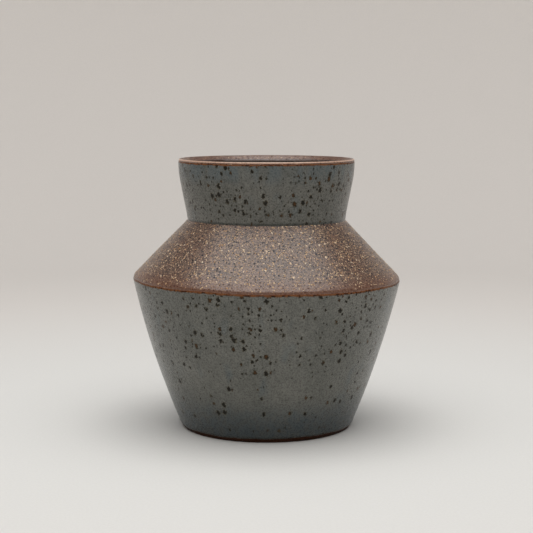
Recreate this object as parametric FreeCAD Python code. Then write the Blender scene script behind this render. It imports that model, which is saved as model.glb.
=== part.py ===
"""A wheel-thrown stoneware bud vase: one clay body and the three glaze coats fired onto it.

Millimetres, +Z up. The origin is the centre of the foot, on the surface that the vase stands on.
Every piece is turned about the Z axis from one section of the wall.
"""
import FreeCAD, Part

import math
import os

from FreeCAD import Vector

# Driving dimensions, in millimetres and degrees.
HEIGHT = 100.4
FOOT_RADIUS = 31.6
FOOT_BEVEL_RADIUS = 32.4
FOOT_BEVEL_HEIGHT = 1.0
FOOT_RING_INNER_RADIUS = 27.0
FOOT_RECESS_RADIUS = 25.8
FOOT_RECESS_DEPTH = 1.4

BELLY_RADIUS = 49.8
BELLY_HEIGHT = 55.1
WALL_BULGE = 1.25
SHOULDER_EDGE_RADIUS = 2.6
SHOULDER_LEAN = 44.2

NECK_BASE_RADIUS = 29.3
NECK_LEAN = 11.0
NECK_CURVE_RADIUS = 44.0
LIP_OUTER_RADIUS = 0.6
LIP_INNER_RADIUS = 1.0
LIP_SLOPE = 36.0
LIP_SLOPE_END_RADIUS = 29.5

THROAT_RADIUS = 25.7
THROAT_EDGE_RADIUS = 3.0
INNER_NECK_LEAN = 10.0
INNER_NECK_CURVE_RADIUS = 30.0
INNER_SHOULDER_RADIUS = 43.2
INNER_SHOULDER_EDGE_RADIUS = 5.0
INNER_WALL_LEAN = 13.0
FLOOR_EDGE_RADIUS = 30.7
FLOOR_EDGE_HEIGHT = 11.2
FLOOR_CORNER_RADIUS = 8.0

GLAZE_THICKNESS = 0.45
LINER_THICKNESS = 0.4
BODY_GLAZE_BOTTOM = 1.4
BODY_GLAZE_TOP = 55.9
NECK_GLAZE_TOP = 99.3
LINER_TOP = 98.4

# Headings of an outline, in degrees from straight up, positive away from the axis.
UP = 0.0
INWARD = -90.0
DOWN = -180.0

AXIS_BASE = Vector(0, 0, 0)
AXIS = Vector(0, 0, 1)
FULL_TURN = 360
HALF_TURN = 180


class Outline:
    """A chain of straight and round stretches in the plane through the vase's axis."""

    def __init__(self, radius, height, heading=UP):
        self.end = Vector(radius, 0, height)
        self.heading = heading
        self.edges = []

    def line_to(self, radius, height):
        """Draw a straight stretch to a point, and turn the heading along it."""
        point = Vector(radius, 0, height)
        step = point - self.end
        self.edges.append(Part.LineSegment(self.end, point).toShape())
        self.heading = math.degrees(math.atan2(step.x, step.z))
        self.end = point

    def line_to_radius(self, radius):
        """Go straight on, along the heading, as far as this radius."""
        run = (radius - self.end.x) / math.sin(math.radians(self.heading))
        self.line_to(radius, self.end.z + run * math.cos(math.radians(self.heading)))

    def line_to_height(self, height):
        """Go straight on, along the heading, as far as this height."""
        run = (height - self.end.z) / math.cos(math.radians(self.heading))
        self.line_to(self.end.x + run * math.sin(math.radians(self.heading)), height)

    def bow_to(self, radius, height, bulge):
        """Draw a shallow arc to a point, its middle a bulge to the right of the straight way."""
        point = Vector(radius, 0, height)
        chord = point - self.end
        right = Vector(chord.z, 0, -chord.x).normalize()
        middle = self.end + chord * 0.5 + right * bulge
        edge = Part.Arc(self.end, middle, point).toShape()
        tangent = edge.tangentAt(edge.LastParameter)
        self.edges.append(edge)
        self.heading = math.degrees(math.atan2(tangent.x, tangent.z))
        self.end = point

    def bend_to(self, heading, bend_radius):
        """Draw an arc, level with the last stretch, that ends in the given heading."""
        turn = (heading - self.heading + HALF_TURN) % FULL_TURN - HALF_TURN
        side = math.copysign(bend_radius, turn)
        centre = self.end + self.right_of(self.heading) * side
        middle = centre - self.right_of(self.heading + turn / 2) * side
        point = centre - self.right_of(heading) * side
        self.edges.append(Part.Arc(self.end, middle, point).toShape())
        self.heading = heading
        self.end = point

    @staticmethod
    def right_of(heading):
        """Give the unit vector to the right of a heading."""
        angle = math.radians(heading)
        return Vector(math.cos(angle), 0, -math.sin(angle))


def outer_outline():
    """Draw the outside of the wall, from the foot's bevel to the crest of the lip."""
    outline = Outline(FOOT_BEVEL_RADIUS, FOOT_BEVEL_HEIGHT)
    outline.bow_to(BELLY_RADIUS, BELLY_HEIGHT, WALL_BULGE)
    outline.bend_to(-SHOULDER_LEAN, SHOULDER_EDGE_RADIUS)
    outline.line_to_radius(NECK_BASE_RADIUS)
    neck_base_height = outline.end.z
    curve_rise = NECK_CURVE_RADIUS * math.sin(math.radians(NECK_LEAN))
    outline.heading = NECK_LEAN
    outline.line_to_height(HEIGHT - LIP_OUTER_RADIUS - curve_rise)
    outline.bend_to(UP, NECK_CURVE_RADIUS)
    outline.bend_to(INWARD, LIP_OUTER_RADIUS)
    return outline, neck_base_height


def inner_outline(crest):
    """Draw the inside of the wall, from the crest of the lip to the middle of the floor."""
    outline = Outline(crest.x, crest.z, INWARD)
    outline.bend_to(INWARD - LIP_SLOPE, LIP_INNER_RADIUS)
    outline.line_to_radius(LIP_SLOPE_END_RADIUS)
    outline.bend_to(DOWN, LIP_INNER_RADIUS)
    outline.bend_to(DOWN + INNER_NECK_LEAN, INNER_NECK_CURVE_RADIUS)
    outline.line_to_radius(THROAT_RADIUS)
    outline.bend_to(DOWN - SHOULDER_LEAN, THROAT_EDGE_RADIUS)
    outline.line_to_radius(INNER_SHOULDER_RADIUS)
    outline.bend_to(DOWN + INNER_WALL_LEAN, INNER_SHOULDER_EDGE_RADIUS)
    outline.bow_to(FLOOR_EDGE_RADIUS, FLOOR_EDGE_HEIGHT, -WALL_BULGE)
    outline.bend_to(INWARD, FLOOR_CORNER_RADIUS)
    outline.line_to_radius(0)
    return outline


def foot_outline():
    """Draw the underside, from the axis out over the turned recess to the foot's bevel."""
    outline = Outline(0, FOOT_RECESS_DEPTH)
    outline.line_to(FOOT_RECESS_RADIUS, FOOT_RECESS_DEPTH)
    outline.line_to(FOOT_RING_INNER_RADIUS, 0)
    outline.line_to(FOOT_RADIUS, 0)
    outline.line_to(FOOT_BEVEL_RADIUS, FOOT_BEVEL_HEIGHT)
    return outline


def turned(face):
    """Turn a flat section about the vase's axis into a solid."""
    return face.revolve(AXIS_BASE, AXIS, FULL_TURN)


def coat(outline, thickness, bottom, top):
    """Make the skin of a wall, sunk into it by its thickness, between two heights."""
    band = Part.Wire(outline.edges).makeOffset2D(thickness, 2, True, True)
    reach = 2 * BELLY_RADIUS
    corners = [(0, bottom), (reach, bottom), (reach, top), (0, top), (0, bottom)]
    window = Part.Face(Part.makePolygon([Vector(radius, 0, height) for radius, height in corners]))
    return turned(band.common(window).Faces[0])


def body_glaze(outer):
    """Make the glaze on the lower wall, from above the foot to the shoulder's edge."""
    return coat(outer, GLAZE_THICKNESS, BODY_GLAZE_BOTTOM, BODY_GLAZE_TOP)


def neck_glaze(outer, neck_base_height):
    """Make the glaze round the outside of the neck, up to the bare lip."""
    return coat(outer, GLAZE_THICKNESS, neck_base_height, NECK_GLAZE_TOP)


def liner_glaze(inner):
    """Make the dark glaze that lines the inside, from below the lip to the floor."""
    return coat(inner, LINER_THICKNESS, 0, LINER_TOP)


def stoneware_body(outer, inner, coats):
    """Make the fired clay: floor, foot ring, wall, shoulder, neck and lip, less the glaze on it."""
    foot = foot_outline()
    axis_line = Part.LineSegment(inner.end, Vector(0, 0, FOOT_RECESS_DEPTH)).toShape()
    section = Part.Wire(foot.edges + outer.edges + inner.edges + [axis_line])
    return turned(Part.Face(section)).cut(coats)


def main():
    """Make every piece and write each to its own STEP file."""
    outer, neck_base_height = outer_outline()
    inner = inner_outline(outer.end)
    pieces = {
        "body_glaze": body_glaze(outer),
        "neck_glaze": neck_glaze(outer, neck_base_height),
        "liner_glaze": liner_glaze(inner),
    }
    pieces["stoneware_body"] = stoneware_body(outer, inner, list(pieces.values()))
    os.makedirs("parts", exist_ok=True)
    for name, shape in pieces.items():
        print(name, shape.isValid(), len(shape.Solids), round(shape.Volume), shape.BoundBox)
        solid = shape.Solids[0]
        solid.exportStep("parts/" + name + ".step")


main()
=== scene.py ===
"""Looks of a wheel-thrown stoneware bud vase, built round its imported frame.

Sizes are in millimetres where a name ends in _mm or a class says so, and are turned to metres when
a mesh is made. The vase stands on Z = 0 with its axis on the Z axis, as the frame has it.
"""

import logging
import math
from dataclasses import dataclass, field
from enum import Enum
from typing import Any

import bpy
import numpy as np
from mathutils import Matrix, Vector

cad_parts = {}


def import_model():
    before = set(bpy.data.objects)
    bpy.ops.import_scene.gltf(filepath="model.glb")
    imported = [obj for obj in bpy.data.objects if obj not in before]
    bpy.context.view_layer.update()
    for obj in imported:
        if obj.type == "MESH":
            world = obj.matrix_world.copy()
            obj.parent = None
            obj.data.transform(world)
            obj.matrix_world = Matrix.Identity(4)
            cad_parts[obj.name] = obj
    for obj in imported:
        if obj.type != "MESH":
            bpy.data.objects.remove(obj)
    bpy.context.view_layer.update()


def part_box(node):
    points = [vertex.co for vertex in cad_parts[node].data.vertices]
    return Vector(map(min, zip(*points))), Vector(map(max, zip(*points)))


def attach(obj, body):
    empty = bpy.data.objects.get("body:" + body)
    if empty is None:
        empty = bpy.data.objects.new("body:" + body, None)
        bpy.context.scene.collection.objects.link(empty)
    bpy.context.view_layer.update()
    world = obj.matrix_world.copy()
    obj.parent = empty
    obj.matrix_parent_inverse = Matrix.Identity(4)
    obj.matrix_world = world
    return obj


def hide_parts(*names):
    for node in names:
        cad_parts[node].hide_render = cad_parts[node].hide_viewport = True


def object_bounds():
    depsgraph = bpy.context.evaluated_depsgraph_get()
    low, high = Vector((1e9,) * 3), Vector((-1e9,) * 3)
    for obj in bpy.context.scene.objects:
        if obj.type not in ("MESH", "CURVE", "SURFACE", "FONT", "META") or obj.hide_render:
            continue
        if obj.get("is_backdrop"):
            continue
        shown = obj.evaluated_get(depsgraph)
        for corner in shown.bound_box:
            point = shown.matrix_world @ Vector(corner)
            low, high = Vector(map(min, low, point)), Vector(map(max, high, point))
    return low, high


LOG = logging.getLogger("bud_vase")

MM = 0.001
FULL_TURN = 2 * math.pi

# Settings that nearly every node of a kind has in these trees.
USUAL_SETTINGS = {
    "Mix": {"data_type": "RGBA"},
    "MapRange": {"interpolation_type": "SMOOTHSTEP"},
}


def linear(hex_colour: str) -> tuple[float, float, float, float]:
    """Turn an sRGB hex colour to the linear values that the shaders take.

    Args:
        hex_colour: Six hex digits, such as "6B4A38".

    Returns:
        Linear red, green and blue, and an alpha of 1.
    """
    channels = [int(hex_colour[i:i + 2], 16) / 255 for i in (0, 2, 4)]
    toe, slope, offset, power = 0.04045, 12.92, 0.055, 2.4
    values = [c / slope if c <= toe else ((c + offset) / (1 + offset)) ** power for c in channels]
    return (*values, 1.0)


def feed(tree: bpy.types.NodeTree, node: bpy.types.Node, *values: Any) -> None:
    """Give a node's sockets their values and links.

    Args:
        tree: The node's tree.
        node: The node.
        *values: What goes into the open sockets, in order, or one dict of it by socket name. Each
            is a plain value, a hex colour, None to skip, or the socket or node to link from.
    """
    if values and isinstance(values[0], dict):
        pairs = [(node.inputs[name], value) for name, value in values[0].items()]
    else:
        pairs = list(zip([socket for socket in node.inputs if socket.enabled], values))
    for socket, value in pairs:
        if isinstance(value, bpy.types.Node):
            value = next(output for output in value.outputs if output.enabled)
        if isinstance(value, bpy.types.NodeSocket):
            tree.links.new(value, socket)
        elif value is not None:
            socket.default_value = linear(value) if socket.type == "RGBA" else value


def add(tree: bpy.types.NodeTree, kind: str, *values: Any, **settings: Any) -> bpy.types.Node:
    """Add one node to a tree, with its settings, values and links.

    Args:
        tree: The shader or geometry tree.
        kind: The node's type, without "ShaderNode" in front, and its operation after a space.
        *values: What goes into its sockets, as feed takes it.
        **settings: The node's own properties.

    Returns:
        The new node.
    """
    kind, _, operation = kind.partition(" ")
    node = tree.nodes.new(kind if "Node" in kind else f"ShaderNode{kind}")
    if operation:
        settings["operation"] = operation
    for name, setting in {**USUAL_SETTINGS.get(kind, {}), **settings}.items():
        setattr(node, name, setting)
    feed(tree, node, *values)
    return node


# --------------------------------------------------------------------------- the wall's section


class Heading(Enum):
    """Ways along the section, in degrees from straight up, positive away from the axis."""

    UP = 0.0
    OUTWARD = 90.0
    INWARD = -90.0
    DOWN = -180.0


@dataclass
class Section:
    """The wall's section as one line, walked so that its right side faces out of the clay."""

    radius: float
    height: float
    heading: float = Heading.UP.value
    grain: float = 0.05
    radii: list[float] = field(default_factory=list)
    heights: list[float] = field(default_factory=list)
    headings: list[float] = field(default_factory=list)

    def mark(self) -> None:
        """Keep the present point."""
        self.radii.append(self.radius)
        self.heights.append(self.height)
        self.headings.append(self.heading)

    def forward(self, length: float) -> None:
        """Walk straight on.

        Args:
            length: How far, in millimetres.
        """
        count = max(1, round(length / self.grain))
        angle = math.radians(self.heading)
        for _ in range(count):
            self.mark()
            self.radius += length / count * math.sin(angle)
            self.height += length / count * math.cos(angle)

    def line_to(self, radius: float, height: float) -> None:
        """Turn towards a point and walk straight to it.

        Args:
            radius: The point's distance from the axis.
            height: The point's height.
        """
        across, up = radius - self.radius, height - self.height
        self.heading = math.degrees(math.atan2(across, up))
        self.forward(math.hypot(across, up))

    def line_to_radius(self, radius: float) -> None:
        """Walk straight on as far as a radius."""
        self.forward((radius - self.radius) / math.sin(math.radians(self.heading)))

    def line_to_height(self, height: float) -> None:
        """Walk straight on as far as a height."""
        self.forward((height - self.height) / math.cos(math.radians(self.heading)))

    def bend_to(self, heading: float, bend_radius: float) -> None:
        """Walk round an arc until it has this heading.

        Args:
            heading: The heading at the arc's end, in degrees.
            bend_radius: The arc's radius in millimetres.
        """
        turn = (heading - self.heading + 180) % 360 - 180
        length = abs(math.radians(turn)) * bend_radius
        count = max(4, round(length / self.grain))
        chord = 2 * bend_radius * math.sin(abs(math.radians(turn)) / count / 2)
        for _ in range(count):
            self.mark()
            angle = math.radians(self.heading + turn / count / 2)
            self.radius += chord * math.sin(angle)
            self.height += chord * math.cos(angle)
            self.heading += turn / count

    def bow_to(self, radius: float, height: float, bulge: float) -> None:
        """Walk a shallow arc to a point, its middle a bulge to the right of the straight way.

        Args:
            radius: The end's distance from the axis.
            height: The end's height.
            bulge: How far the arc's middle stands off the straight way.
        """
        across, up = radius - self.radius, height - self.height
        chord = math.hypot(across, up)
        half_turn = math.degrees(2 * math.atan(2 * bulge / chord))
        straight = math.degrees(math.atan2(across, up))
        self.heading = straight + half_turn
        self.bend_to(straight - half_turn, chord / 2 / abs(math.sin(math.radians(half_turn))))


@dataclass(frozen=True)
class WallSizes:
    """The vase's driving sizes in millimetres and degrees; its heights come from the frame."""

    foot_radius: float = 31.6
    bevel_radius: float = 32.4
    bevel_height: float = 1.0
    foot_ring_inner: float = 27.0
    recess_radius: float = 25.8
    recess_depth: float = 1.4
    belly_radius: float = 49.8
    belly_height: float = 55.1
    wall_bulge: float = 1.25
    shoulder_edge: float = 2.6
    shoulder_lean: float = 44.2
    neck_base: float = 29.3
    neck_base_edge: float = 0.35
    neck_lean: float = 11.0
    neck_curve: float = 44.0
    lip_outer: float = 0.6
    lip_inner: float = 1.0
    lip_slope: float = 36.0
    lip_slope_end: float = 29.5
    throat: float = 25.7
    throat_edge: float = 3.0
    inner_neck_lean: float = 10.0
    inner_neck_curve: float = 30.0
    inner_shoulder: float = 43.2
    inner_shoulder_edge: float = 5.0
    inner_wall_lean: float = 13.0
    floor_edge_radius: float = 30.7
    floor_edge_height: float = 11.2
    floor_corner: float = 8.0
    foot_soft_edge: float = 0.35


@dataclass(frozen=True)
class GlazeLines:
    """Heights of the glazes' edges in millimetres, read from the frame."""

    foot: float
    shoulder: float
    neck_base: float
    neck_top: float
    liner_top: float
    height: float

    @classmethod
    def from_frame(cls) -> "GlazeLines":
        """Read the edges of the three coats and the whole height.

        Returns:
            The heights.
        """
        body, neck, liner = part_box("body_glaze"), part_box("neck_glaze"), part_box("liner_glaze")
        heights = (body[0][2], body[1][2], neck[0][2], neck[1][2], liner[1][2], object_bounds()[1][2])
        return cls(*(float(value) / MM for value in heights))


class Wall:
    """The section of the whole wall, which every turned piece takes its stretch from."""

    def __init__(self, sizes: WallSizes, lines: GlazeLines) -> None:
        """Walk the section from the axis underneath, up the outside and down the inside.

        Args:
            sizes: The driving sizes.
            lines: The heights that the frame gives.
        """
        walk = Section(0.0, sizes.recess_depth, Heading.OUTWARD.value)
        walk.line_to_radius(sizes.recess_radius - sizes.foot_soft_edge)
        walk.line_to(sizes.foot_ring_inner, 0.0)
        walk.line_to(sizes.foot_radius, 0.0)
        self.foot_corner = self.length_of(walk)
        walk.line_to(sizes.bevel_radius, sizes.bevel_height)
        walk.bow_to(sizes.belly_radius, sizes.belly_height, sizes.wall_bulge)
        walk.bend_to(-sizes.shoulder_lean, sizes.shoulder_edge)
        walk.line_to_radius(sizes.neck_base + sizes.neck_base_edge / 2)
        self.neck_base = self.length_of(walk)
        walk.bend_to(sizes.neck_lean, sizes.neck_base_edge)
        curve_rise = sizes.neck_curve * math.sin(math.radians(sizes.neck_lean))
        walk.line_to_height(lines.height - sizes.lip_outer - curve_rise)
        walk.bend_to(Heading.UP.value, sizes.neck_curve)
        walk.bend_to(Heading.INWARD.value, sizes.lip_outer)
        self.crest = self.length_of(walk)
        walk.bend_to(Heading.INWARD.value - sizes.lip_slope, sizes.lip_inner)
        walk.line_to_radius(sizes.lip_slope_end)
        walk.bend_to(Heading.DOWN.value, sizes.lip_inner)
        walk.bend_to(Heading.DOWN.value + sizes.inner_neck_lean, sizes.inner_neck_curve)
        walk.line_to_radius(sizes.throat)
        walk.bend_to(Heading.DOWN.value - sizes.shoulder_lean, sizes.throat_edge)
        walk.line_to_radius(sizes.inner_shoulder)
        walk.bend_to(Heading.DOWN.value + sizes.inner_wall_lean, sizes.inner_shoulder_edge)
        walk.bow_to(sizes.floor_edge_radius, sizes.floor_edge_height, -sizes.wall_bulge)
        walk.bend_to(Heading.INWARD.value, sizes.floor_corner)
        walk.line_to_radius(0.0)
        walk.mark()
        self.radii = np.array(walk.radii)
        self.heights = np.array(walk.heights)
        self.headings = np.array(walk.headings)
        steps = np.hypot(np.diff(self.radii), np.diff(self.heights))
        self.along = np.concatenate([[0.0], np.cumsum(steps)])
        self.foot_line = self.crossing(lines.foot, self.foot_corner, self.neck_base)
        self.shoulder_line = self.crossing(lines.shoulder, self.foot_corner, self.neck_base)
        self.neck_top = self.crossing(lines.neck_top, self.neck_base, self.crest)
        self.liner_top = self.crossing(lines.liner_top, self.crest, self.along[-1])

    @staticmethod
    def length_of(walk: Section) -> float:
        """Measure a walk.

        Args:
            walk: The section as far as it has been walked.

        Returns:
            Its length in millimetres.
        """
        radii = np.array(walk.radii + [walk.radius])
        heights = np.array(walk.heights + [walk.height])
        return float(np.hypot(np.diff(radii), np.diff(heights)).sum())

    def crossing(self, height: float, start: float, end: float) -> float:
        """Find where the section first passes a height.

        Args:
            height: The height in millimetres.
            start: The distance along the section to look from.
            end: The distance to look to.

        Returns:
            The distance along the section.
        """
        within = np.flatnonzero((self.along >= start) & (self.along <= end))
        side = np.sign(self.heights[within] - height)
        change = np.flatnonzero(side[1:] != side[:-1])
        return float(self.along[within[change[0]]])

    def at(self, along: np.ndarray) -> tuple[np.ndarray, np.ndarray]:
        """Give points and outward normals at distances along the section.

        Args:
            along: Distances in millimetres.

        Returns:
            Points as (radius, height) rows, and unit normals as rows.
        """
        angle = np.radians(np.interp(along, self.along, self.unwrapped()))
        points = np.column_stack([
            np.interp(along, self.along, self.radii),
            np.interp(along, self.along, self.heights),
        ])
        return points, np.column_stack([np.cos(angle), -np.sin(angle)])

    def unwrapped(self) -> np.ndarray:
        """Give the headings with no jump of a whole turn."""
        return np.degrees(np.unwrap(np.radians(self.headings)))

    def stations(self, start: float, end: float, step: float, fine_at: list[float]) -> np.ndarray:
        """Choose distances close together on bends and near edges, and further apart elsewhere.

        Args:
            start: The first distance.
            end: The last distance.
            step: The longest step.
            fine_at: Distances that need fine steps round them.

        Returns:
            The distances in order.
        """
        fine_step, fine_reach, sharp_turn = 0.16, 1.3, 7.0
        headings = self.unwrapped()
        chosen = [start]
        turned = np.interp(start, self.along, headings)
        for place, heading in zip(self.along, headings):
            near = any(abs(place - spot) < fine_reach for spot in fine_at)
            far_enough = place - chosen[-1] >= (fine_step if near else step)
            bent = abs(heading - turned) >= sharp_turn and place - chosen[-1] >= fine_step
            if start < place < end - fine_step / 2 and (far_enough or bent):
                chosen.append(float(place))
                turned = heading
        return np.array(chosen + [end])


# --------------------------------------------------------------------------- turning on the wheel


class ShapeTree:
    """A geometry tree with named inputs, made once and run on several pieces."""

    name = ""
    inputs: dict[str, str] = {}

    def __init__(self) -> None:
        """Make the tree's sockets, keep their identifiers by name, and fill the tree."""
        self.tree = bpy.data.node_groups.new(self.name, "GeometryNodeTree")
        self.sockets: dict[str, str] = {}
        for name, kind in {"Geometry": "Geometry", **self.inputs, "Finish": "Material"}.items():
            socket = self.tree.interface.new_socket(name, in_out="INPUT", socket_type=f"NodeSocket{kind}")
            self.sockets[name] = socket.identifier
        self.tree.interface.new_socket("Geometry", in_out="OUTPUT", socket_type="NodeSocketGeometry")
        self.build()

    def build(self) -> None:
        """Fill the tree."""
        raise NotImplementedError

    def run(self, piece: bpy.types.Object, values: dict[str, Any]) -> bpy.types.Object:
        """Run the tree on an object and keep its result as a plain mesh.

        Args:
            piece: The object whose mesh goes in.
            values: The inputs' names and values.

        Returns:
            The same object, with its new mesh and no modifier.
        """
        modifier = piece.modifiers.new("shape", "NODES")
        modifier.node_group = self.tree
        for name, value in values.items():
            modifier[self.sockets[name]] = value
        piece.update_tag()
        graph = bpy.context.evaluated_depsgraph_get()
        graph.update()
        made = bpy.data.meshes.new_from_object(piece.evaluated_get(graph), depsgraph=graph)
        piece.modifiers.remove(modifier)
        old = piece.data
        piece.data = made
        made.name = piece.name
        bpy.data.meshes.remove(old)
        return piece


class TurningTree(ShapeTree):
    """The tree that turns a section on the wheel, with the small errors of a hand."""

    name = "turned_on_the_wheel"
    inputs = {
        "Segments": "Int", "Ring Pitch": "Float", "Ring Height": "Float", "Unevenness": "Float",
        "Edge Wander": "Float", "Lean": "Float", "Seed": "Float",
    }
    # Where the shoulder's lean comes in and goes out again: heights, and shares before and after.
    lean_in = (0.036, 0.056, 0.0, 1.0)
    lean_out = (0.066, 0.084, 1.0, 0.15)
    # How far the rings stray from a true spiral, as a share of their pitch.
    ring_wander = 0.35

    def sample(self, source: Any, place: Any, attribute: str = "") -> bpy.types.Node:
        """Read a vector of the section's points for each point of the turned surface.

        Args:
            source: The section's geometry socket.
            place: The node that gives the section point's number.
            attribute: The attribute's name, or nothing for the position.

        Returns:
            The node that gives the vector.
        """
        value = add(self.tree, "GeometryNodeInputPosition")
        if attribute:
            value = add(self.tree, "GeometryNodeInputNamedAttribute", attribute, data_type="FLOAT_VECTOR")
        sampled = {"Geometry": source, "Value": value, "Index": place}
        return add(self.tree, "GeometryNodeSampleIndex", sampled, data_type="FLOAT_VECTOR")

    def build(self) -> None:
        """Fill the tree."""
        tree = self.tree
        given = add(tree, "NodeGroupInput").outputs
        size = add(tree, "GeometryNodeAttributeDomainSize", {"Geometry": given["Geometry"]}, component="MESH")
        rows = size.outputs["Point Count"]
        columns = add(tree, "Math ADD", given["Segments"], 1)
        grid = add(tree, "GeometryNodeMeshGrid", {"Vertices X": columns, "Vertices Y": rows})
        any_place = {"noise_dimensions": "4D", "normalize": False}
        index = add(tree, "GeometryNodeInputIndex")
        column = add(tree, "Math FLOOR", add(tree, "Math DIVIDE", add(tree, "Math ADD", index, 0.5), rows))
        row = add(tree, "Math SUBTRACT", index, add(tree, "Math MULTIPLY", column, rows))
        angle = add(tree, "Math MULTIPLY", add(tree, "Math DIVIDE", column, given["Segments"]), FULL_TURN)
        circle = add(tree, "CombineXYZ", {
            "X": add(tree, "Math COSINE", angle),
            "Y": add(tree, "Math SINE", angle),
        })

        point = self.sample(given["Geometry"], row)
        outward = self.sample(given["Geometry"], row, "outward")
        weights = self.sample(given["Geometry"], row, "weights")
        marks = self.sample(given["Geometry"], row, "marks")
        at = add(tree, "SeparateXYZ", point).outputs
        out = add(tree, "SeparateXYZ", outward).outputs
        weight = add(tree, "SeparateXYZ", weights).outputs

        # Where the surface is before any unevenness, which all the noise reads.
        level = add(tree, "CombineXYZ", {"Z": at["Z"]})
        around = add(tree, "VectorMath SCALE", circle, at["X"])
        plain = add(tree, "VectorMath ADD", around, level)

        # Rings left by the fingers, a slow spiral that fades in and out round the wall.
        spiral = add(tree, "Math ADD", add(tree, "Math DIVIDE", at["Z"], given["Ring Pitch"]),
                     add(tree, "Math DIVIDE", angle, FULL_TURN))
        wander = add(tree, "TexNoise", plain, given["Seed"], 30.0, 1.0, **any_place)
        spiral = add(tree, "Math ADD", spiral, add(tree, "Math MULTIPLY", wander, self.ring_wander))
        rings = add(tree, "Math SINE", add(tree, "Math MULTIPLY", spiral, FULL_TURN))
        ring_lift = add(tree, "Math MULTIPLY", rings, given["Ring Height"])
        ring_lift = add(tree, "Math MULTIPLY", ring_lift, weight["X"])
        swell = add(tree, "TexNoise", plain, given["Seed"], 45.0, 2.0, **any_place)
        swell = add(tree, "Math MULTIPLY", swell, given["Unevenness"])
        swell = add(tree, "Math MULTIPLY", swell, weight["Z"])
        lift = add(tree, "Math ADD", ring_lift, swell)

        # The glaze's edge wanders along the wall; the same noise moves every piece at that edge.
        edge_seed = add(tree, "SeparateXYZ", marks).outputs["Z"]
        slow = add(tree, "TexNoise", circle, edge_seed, 2.6, 3.0, **any_place)
        slip = add(tree, "Math MULTIPLY", add(tree, "Math MULTIPLY", slow, given["Edge Wander"]), weight["Y"])

        # Along the wall is the outward way turned by a quarter.
        radius = add(tree, "Math ADD", at["X"], add(tree, "Math MULTIPLY", out["X"], lift))
        radius = add(tree, "Math SUBTRACT", radius, add(tree, "Math MULTIPLY", out["Z"], slip))
        height = add(tree, "Math ADD", at["Z"], add(tree, "Math MULTIPLY", out["Z"], lift))
        height = add(tree, "Math ADD", height, add(tree, "Math MULTIPLY", out["X"], slip))
        across = add(tree, "VectorMath SCALE", circle, radius)

        # The shoulder leans a little to one side, as a pot's does when its top is joined by hand.
        rise = add(tree, "MapRange", height, *self.lean_in)
        fall = add(tree, "MapRange", height, *self.lean_out)
        side = add(tree, "SeparateXYZ", across).outputs["X"]
        tilt = add(tree, "Math MULTIPLY", add(tree, "Math MULTIPLY", side, given["Lean"]),
                   add(tree, "Math MULTIPLY", rise, fall))
        up = add(tree, "CombineXYZ", {"Z": add(tree, "Math SUBTRACT", height, tilt)})
        final = add(tree, "VectorMath ADD", across, up)

        stored = add(tree, "GeometryNodeStoreNamedAttribute", {
            "Geometry": grid.outputs["Mesh"], "Name": "marks", "Value": marks,
        }, data_type="FLOAT_VECTOR", domain="POINT")
        placed = add(tree, "GeometryNodeSetPosition", {"Geometry": stored, "Position": final})
        joined = add(tree, "GeometryNodeMergeByDistance", {"Geometry": placed, "Distance": 2e-6})
        smooth = add(tree, "GeometryNodeSetShadeSmooth", {"Geometry": joined, "Shade Smooth": True})
        real = add(tree, "GeometryNodeRealizeInstances", {"Geometry": smooth})
        dressed = add(tree, "GeometryNodeSetMaterial", {"Geometry": real, "Material": given["Finish"]})
        add(tree, "NodeGroupOutput", {"Geometry": dressed})


@dataclass(frozen=True)
class Hand:
    """How evenly a piece was thrown, in millimetres but for the seed."""

    segments: int
    ring_pitch: float
    ring_height: float
    unevenness: float
    seed: float
    edge_wander: float = 0.5
    lean: float = 0.0105


def section_mesh(name: str, points: np.ndarray, outward: np.ndarray, weights: np.ndarray,
                 marks: np.ndarray) -> bpy.types.Object:
    """Make the object that carries a section's points to the turning tree.

    Args:
        name: The piece's name.
        points: (radius, height) rows in millimetres.
        outward: Unit normals as rows.
        weights: Rows of how much the rings, the edge's wander and the unevenness move a point.
        marks: Rows of what the finish reads, and the seed of the nearest edge.

    Returns:
        The new object, which holds points only.
    """
    mesh = bpy.data.meshes.new(name)
    mesh.from_pydata([(r * MM, 0.0, z * MM) for r, z in points], [], [])
    vectors = {
        "outward": np.column_stack([outward[:, 0], np.zeros(len(outward)), outward[:, 1]]),
        "weights": weights,
        "marks": marks,
    }
    for key, rows in vectors.items():
        attribute = mesh.attributes.new(key, "FLOAT_VECTOR", "POINT")
        attribute.data.foreach_set("vector", np.ascontiguousarray(rows, dtype=np.float32).ravel())
    piece = bpy.data.objects.new(name, mesh)
    bpy.context.scene.collection.objects.link(piece)
    return piece


def turned(name: str, tree: TurningTree, hand: Hand, finish: bpy.types.Material,
           **section: np.ndarray) -> bpy.types.Object:
    """Turn a section into a plain mesh.

    Args:
        name: The piece's name.
        tree: The turning tree.
        hand: How evenly it was thrown.
        finish: The piece's material.
        **section: points, outward, weights and marks, as section_mesh takes them.

    Returns:
        The finished object.
    """
    piece = section_mesh(name, **section)
    values = {
        "Segments": hand.segments,
        "Ring Pitch": hand.ring_pitch * MM,
        "Ring Height": hand.ring_height * MM,
        "Unevenness": hand.unevenness * MM,
        "Edge Wander": hand.edge_wander * MM,
        "Lean": hand.lean,
        "Seed": hand.seed,
        "Finish": finish,
    }
    return tree.run(piece, values)


def eased(values: np.ndarray, start: float, end: float) -> np.ndarray:
    """Ease from 0 at start to 1 at end."""
    share = np.clip((values - start) / (end - start), 0.0, 1.0)
    return share * share * (3 - 2 * share)


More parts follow.
